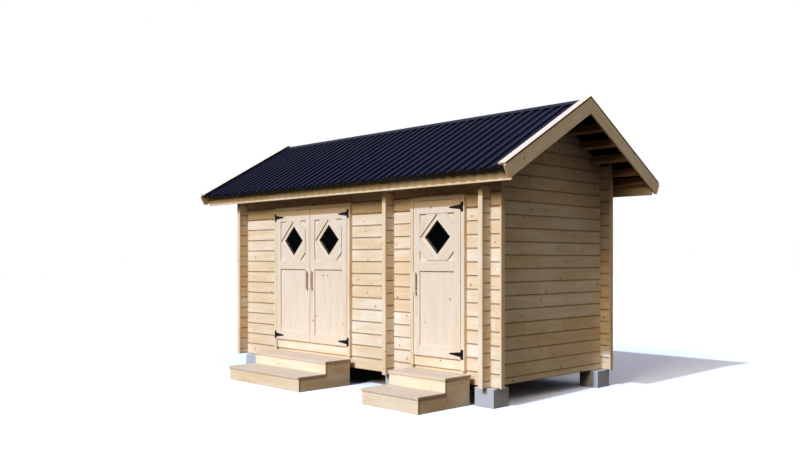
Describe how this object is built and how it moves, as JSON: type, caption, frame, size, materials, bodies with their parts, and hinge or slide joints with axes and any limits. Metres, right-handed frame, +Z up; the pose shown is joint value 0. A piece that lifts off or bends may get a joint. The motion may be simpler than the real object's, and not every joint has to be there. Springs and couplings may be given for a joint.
{
  "type": "wooden outhouse",
  "caption": "Log-built outhouse with a store room behind a double door, a toilet room behind a single door, steps and a corrugated ridge roof.",
  "frame": {"origin": "middle of the footprint at ground level, steps and eaves included", "axes": "+X along the ridge towards the toilet room, +Y to the rear, +Z up; the doors face -Y"},
  "size_m": [5.54, 3.433, 3.3049],
  "materials": {
    "log_spruce": "planed, untreated",
    "board_spruce": "planed, untreated",
    "roof_steel": "satin coating",
    "black_steel": "matt black coating",
    "window_glass": "polished",
    "concrete": "cast, smooth"
  },
  "bodies": {
    "root": {"cap_boards": "board_spruce", "double_door_frame": "board_spruce", "fascia_boards": "board_spruce", "floor_joists": "board_spruce", "foundation_blocks": "concrete", "front_bottom_log": "log_spruce", "front_end_boards": "board_spruce", "front_top_logs": "log_spruce", "front_wall_left": "log_spruce", "front_wall_middle": "log_spruce", "front_wall_right": "log_spruce", "hinge_plates": "black_steel", "left_barge_boards": "board_spruce", "left_gable_wall": "log_spruce", "left_step_sides": "board_spruce", "left_step_treads": "board_spruce", "partition_wall": "log_spruce", "purlins_front": "board_spruce", "purlins_rear": "board_spruce", "rear_end_boards": "board_spruce", "rear_wall": "log_spruce", "ridge_cap": "roof_steel", "right_barge_boards": "board_spruce", "right_gable_wall": "log_spruce", "right_step_sides": "board_spruce", "right_step_treads": "board_spruce", "roof_sheet_front": "roof_steel", "roof_sheet_rear": "roof_steel", "single_door_frame": "board_spruce", "store_room_floor": "board_spruce", "toilet_room_floor": "board_spruce"},
    "left_leaf": {"left_leaf_frame": "board_spruce", "left_leaf_handle": "board_spruce", "left_leaf_hinge_straps": "black_steel", "left_leaf_panel": "board_spruce", "left_leaf_window": "window_glass"},
    "right_leaf": {"right_leaf_frame": "board_spruce", "right_leaf_handle": "board_spruce", "right_leaf_hinge_straps": "black_steel", "right_leaf_panel": "board_spruce", "right_leaf_window": "window_glass"},
    "single_leaf": {"single_leaf_frame": "board_spruce", "single_leaf_handle": "board_spruce", "single_leaf_hinge_straps": "black_steel", "single_leaf_panel": "board_spruce", "single_leaf_window": "window_glass"}
  },
  "joints": [
    {"name": "single_leaf_hinge", "type": "hinge", "parent": "root", "child": "single_leaf", "pos_m": [1.867, -0.9015, 1.3], "axis": [0, 0, 1], "range_deg": [0, 115]},
    {"name": "left_leaf_hinge", "type": "hinge", "parent": "root", "child": "left_leaf", "pos_m": [-1.4455, -0.9015, 1.3], "axis": [0, 0, -1], "range_deg": [0, 115]},
    {"name": "right_leaf_hinge", "type": "hinge", "parent": "root", "child": "right_leaf", "pos_m": [0.0075, -0.9015, 1.3], "axis": [0, 0, 1], "range_deg": [0, 115]}
  ]
}
